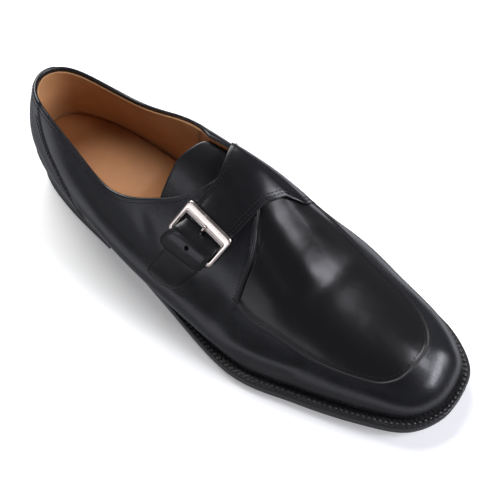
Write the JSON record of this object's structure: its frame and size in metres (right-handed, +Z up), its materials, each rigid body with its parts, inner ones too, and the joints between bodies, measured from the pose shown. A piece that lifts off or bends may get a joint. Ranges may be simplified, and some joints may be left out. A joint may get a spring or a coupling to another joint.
{
  "type": "monk strap shoe",
  "caption": "Right black leather shoe with an apron toe, closed by a wide strap and buckle on the outer side, on a stitched welt with a low stacked heel.",
  "frame": {"origin": "centre of the bounding box on the floor, under the shoe", "axes": "+X from heel to toe, +Y to the inner (medial) side of the foot, +Z up from the floor"},
  "size_m": [0.3032, 0.1108, 0.0953],
  "materials": {
    "black_leather": "smooth black calf, semi-gloss",
    "sole_edge": "waxed dark edge, satin",
    "heel_rubber": "matte",
    "insole_leather": "tan, matte",
    "buckle_metal": "silver, brushed"
  },
  "bodies": {
    "root": {"outsole": "sole_edge", "midsole": "sole_edge", "heel": "sole_edge", "heel_top_piece": "heel_rubber", "insole": "insole_leather", "buckle_frame": "buckle_metal", "buckle_prong": "buckle_metal", "upper": "black_leather", "tongue": "black_leather", "strap": "black_leather", "chape": "black_leather"}
  },
  "joints": []
}
